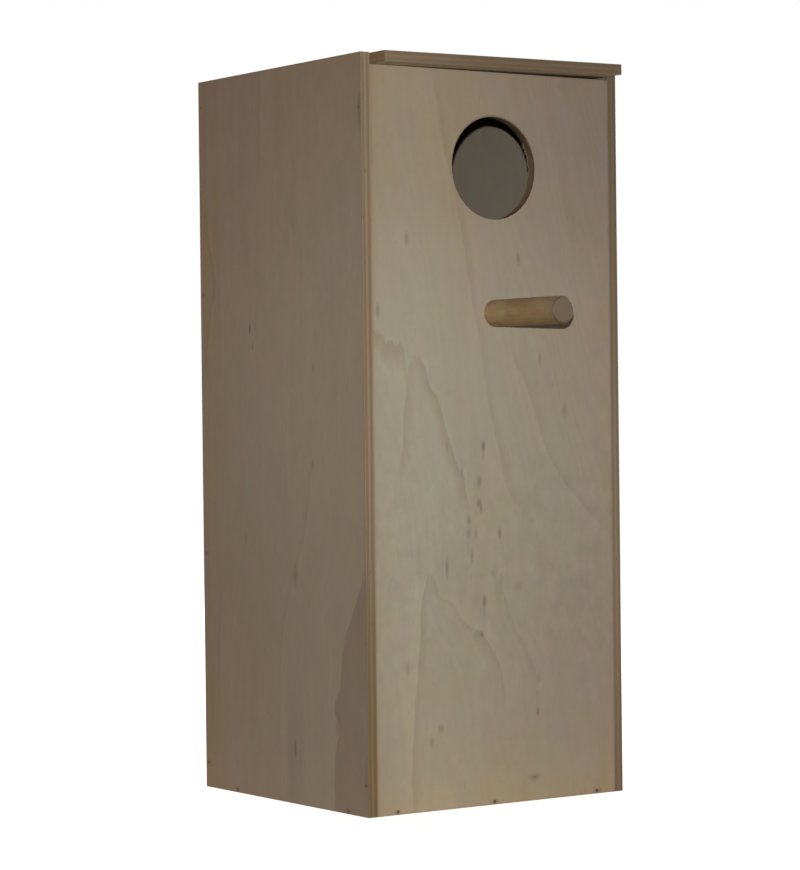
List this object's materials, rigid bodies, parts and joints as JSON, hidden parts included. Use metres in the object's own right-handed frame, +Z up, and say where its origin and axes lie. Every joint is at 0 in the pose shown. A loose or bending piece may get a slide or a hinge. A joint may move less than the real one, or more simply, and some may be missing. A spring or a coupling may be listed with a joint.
{
  "type": "nest box",
  "caption": "Tall plywood nest box for hole-nesting birds, with a round entrance, a dowel perch and a top lid hinged at the back.",
  "frame": {"origin": "middle of the four walls' footprint, on the face that the box stands on", "axes": "+Z up, -Y out of the front wall through the entrance, +X to the right when looking along +Y at the front"},
  "size_m": [0.255, 0.3433, 0.6019],
  "materials": {
    "plywood": "bare plywood, sanded, dull",
    "dowel": "bare hardwood dowel, dull",
    "hinge_steel": "plated steel, satin",
    "brad_steel": "plain steel brads, dulled"
  },
  "bodies": {
    "box": {"left_wall": "plywood", "right_wall": "plywood", "front_wall": "plywood", "back_wall": "plywood", "floor_panel": "plywood", "perch": "dowel", "perch_screw": "hinge_steel", "left_hinge_wall_leaf": "hinge_steel", "right_hinge_wall_leaf": "hinge_steel", "left_hinge_pin": "hinge_steel", "right_hinge_pin": "hinge_steel", "left_hinge_wall_screws": "hinge_steel", "right_hinge_wall_screws": "hinge_steel", "left_rear_brad_1": "brad_steel", "left_rear_brad_2": "brad_steel", "left_rear_brad_3": "brad_steel", "left_rear_brad_4": "brad_steel", "left_front_brad_1": "brad_steel", "left_front_brad_2": "brad_steel", "left_floor_brad_1": "brad_steel", "left_floor_brad_2": "brad_steel", "right_rear_brad_1": "brad_steel", "right_rear_brad_2": "brad_steel", "right_rear_brad_3": "brad_steel", "right_rear_brad_4": "brad_steel", "right_front_brad_1": "brad_steel", "right_front_brad_2": "brad_steel", "right_floor_brad_1": "brad_steel", "right_floor_brad_2": "brad_steel", "front_floor_brad_1": "brad_steel", "front_floor_brad_2": "brad_steel", "front_floor_brad_3": "brad_steel", "back_floor_brad_1": "brad_steel", "back_floor_brad_2": "brad_steel", "back_floor_brad_3": "brad_steel"},
    "lid": {"lid": "plywood", "left_hinge_lid_leaf": "hinge_steel", "right_hinge_lid_leaf": "hinge_steel", "left_hinge_lid_screws": "hinge_steel", "right_hinge_lid_screws": "hinge_steel"}
  },
  "joints": [
    {"name": "lid_hinge", "type": "hinge", "parent": "box", "child": "lid", "pos_m": [-0.1182, 0.1268, 0.5908], "axis": [-0.9999, 0, -0.0102], "range_deg": [0, 180]}
  ]
}
